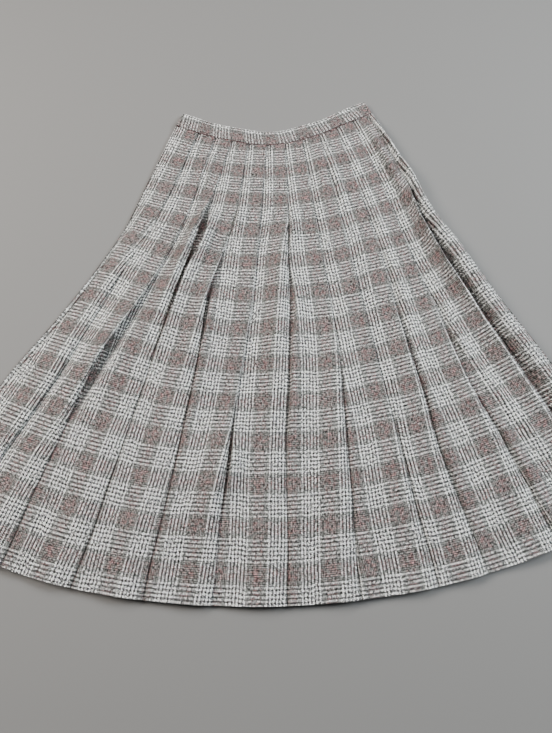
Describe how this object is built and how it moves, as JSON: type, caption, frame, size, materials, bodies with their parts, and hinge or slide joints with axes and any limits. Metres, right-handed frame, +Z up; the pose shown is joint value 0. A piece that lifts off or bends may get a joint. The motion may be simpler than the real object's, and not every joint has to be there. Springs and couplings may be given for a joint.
{
  "type": "pleated skirt laid flat",
  "caption": "Long knife-pleated wool skirt with a narrow waistband, laid flat in a fan with its folds opening towards the hem.",
  "frame": {"origin": "on the surface it lies on, under the middle of the skirt's outline", "axes": "+X across the hem, the wearer's left side of the skirt; +Y from the hem to the waistband; +Z up, out of the skirt's front"},
  "size_m": [1.0223, 0.8305, 0.0246],
  "materials": {
    "wool_check": "matt wool and polyester cloth in a grey, black and off-white glen check with a dusty red overcheck",
    "waistband_check": "the same checked cloth, folded and pressed",
    "zip_nylon": "burgundy nylon coil",
    "nickel": "nickel-plated, lightly brushed"
  },
  "bodies": {
    "root": {"front_panel": "wool_check", "back_panel": "wool_check", "waistband": "waistband_check", "zip_chain": "zip_nylon", "zip_slider": "nickel", "waist_hook": "nickel", "waist_bar": "nickel"}
  },
  "joints": []
}
